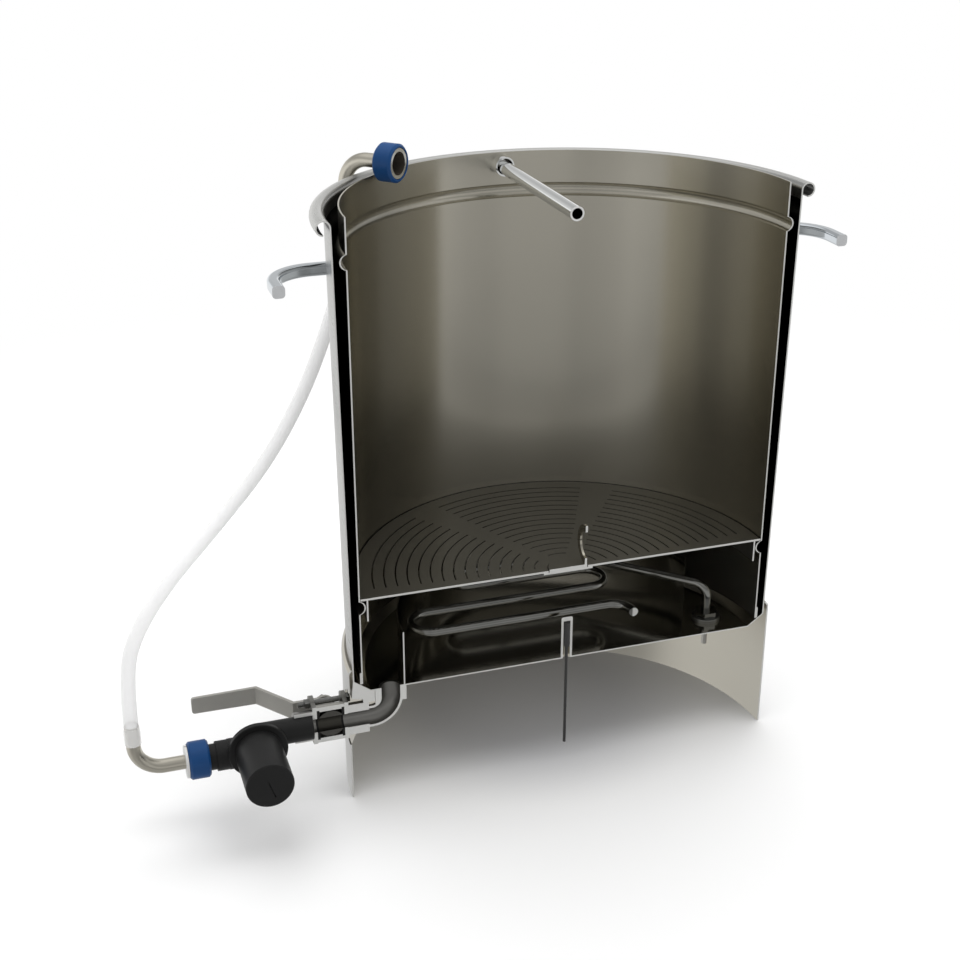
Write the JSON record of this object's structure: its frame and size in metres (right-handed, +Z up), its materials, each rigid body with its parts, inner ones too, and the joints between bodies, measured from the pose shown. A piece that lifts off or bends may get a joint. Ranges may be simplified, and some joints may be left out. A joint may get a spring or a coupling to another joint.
{
  "type": "single vessel brewing system",
  "caption": "Cutaway brewing kettle with a lift-out malt pipe, slotted false bottom, heating element, drain valve, pump and hose that returns wort over the rim.",
  "frame": {"origin": "on the floor, on the kettle's axis, in the plane that the vessel is cut along", "axes": "+X along the cut plane, from the pump's side to the plain side; +Y into the half that stands; +Z up"},
  "size_m": [0.6377, 0.2777, 0.5502],
  "materials": {
    "steel": "satin stainless sheet",
    "pipe_steel": "polished stainless tube",
    "handle_steel": "bright polished bar",
    "element_steel": "dull stainless tube",
    "valve_steel": "cast and machined stainless",
    "lever_steel": "dull grey strip",
    "seal": "matt black",
    "pump_plastic": "fine-grained black",
    "bush": "white ceramic",
    "magnet": "dark sintered",
    "shaft": "ground",
    "nut_blue": "satin blue",
    "hose_silicone": "translucent white silicone",
    "lead": "matt dark sheath"
  },
  "bodies": {
    "vessel": {"kettle_wall": "steel", "kettle_bottom": "steel", "skirt_base": "steel", "element_shroud": "steel", "thermowell": "steel", "probe_tip": "steel", "drain_elbow": "steel", "drain_collar": "steel", "drain_boss": "steel", "element_flange": "steel", "lower_return_pipe": "pipe_steel", "upper_return_pipe": "pipe_steel", "lower_ferrule": "pipe_steel", "upper_ferrule": "pipe_steel", "left_handle": "handle_steel", "right_handle": "handle_steel", "heating_element": "element_steel", "element_nut": "element_steel", "element_terminal": "element_steel", "valve_inlet_cap": "valve_steel", "valve_body": "valve_steel", "valve_outlet_cap": "valve_steel", "gland_nut": "valve_steel", "valve_bolts": "valve_steel", "valve_bolt_nuts": "valve_steel", "valve_seats": "seal", "stem_packing": "seal", "lower_gasket": "seal", "pump_volute": "pump_plastic", "pump_motor_case": "pump_plastic", "pump_end_cap": "pump_plastic", "pump_bushes": "bush", "return_hose": "hose_silicone", "lower_hose_cuff": "hose_silicone", "upper_hose_cuff": "hose_silicone", "probe_lead": "lead"},
    "malt_pipe": {"malt_pipe": "steel", "malt_pipe_band": "steel", "lift_bar_sleeve": "steel"},
    "lift_bar": {"lift_bar": "pipe_steel"},
    "false_bottom": {"false_bottom": "steel", "false_bottom_ring": "steel", "false_bottom_hub": "steel", "false_bottom_lift_ring": "steel"},
    "valve_key": {"valve_ball": "valve_steel", "valve_stem": "valve_steel", "valve_lever": "lever_steel", "lever_nut": "valve_steel"},
    "pump_rotor": {"pump_shaft": "shaft", "pump_impeller": "pump_plastic", "pump_magnet_rotor": "magnet", "pump_rotor_collar": "pump_plastic"},
    "lower_nut": {"lower_union_nut": "nut_blue"},
    "upper_nut": {"upper_union_nut": "nut_blue"}
  },
  "joints": [
    {"name": "malt_pipe_lift", "type": "slide", "parent": "vessel", "child": "malt_pipe", "axis": [0, 0, 1], "range_m": [0, 0.0042]},
    {"name": "false_bottom_lift", "type": "slide", "parent": "malt_pipe", "child": "false_bottom", "axis": [0, 0, 1], "range_m": [0, 0.262]},
    {"name": "lift_bar_slide", "type": "slide", "parent": "malt_pipe", "child": "lift_bar", "axis": [0, 1, 0], "range_m": [-0.003, 0.003]},
    {"name": "drain_valve", "type": "hinge", "parent": "vessel", "child": "valve_key", "pos_m": [-0.217, 0.03, 0.0806], "axis": [0, 1, 0], "range_deg": [0, 90]},
    {"name": "pump_spin", "type": "hinge", "parent": "vessel", "child": "pump_rotor", "pos_m": [-0.283, -0.02, 0.0743], "axis": [0, 1, 0], "continuous": true},
    {"name": "lower_nut_turn", "type": "hinge", "parent": "vessel", "child": "lower_nut", "pos_m": [-0.3305, 0, 0.068], "axis": [1, 0, 0], "continuous": true},
    {"name": "upper_nut_turn", "type": "hinge", "parent": "vessel", "child": "upper_nut", "pos_m": [-0.11935, 0.12799, 0.534], "axis": [0.682, -0.7314, 0], "continuous": true}
  ]
}
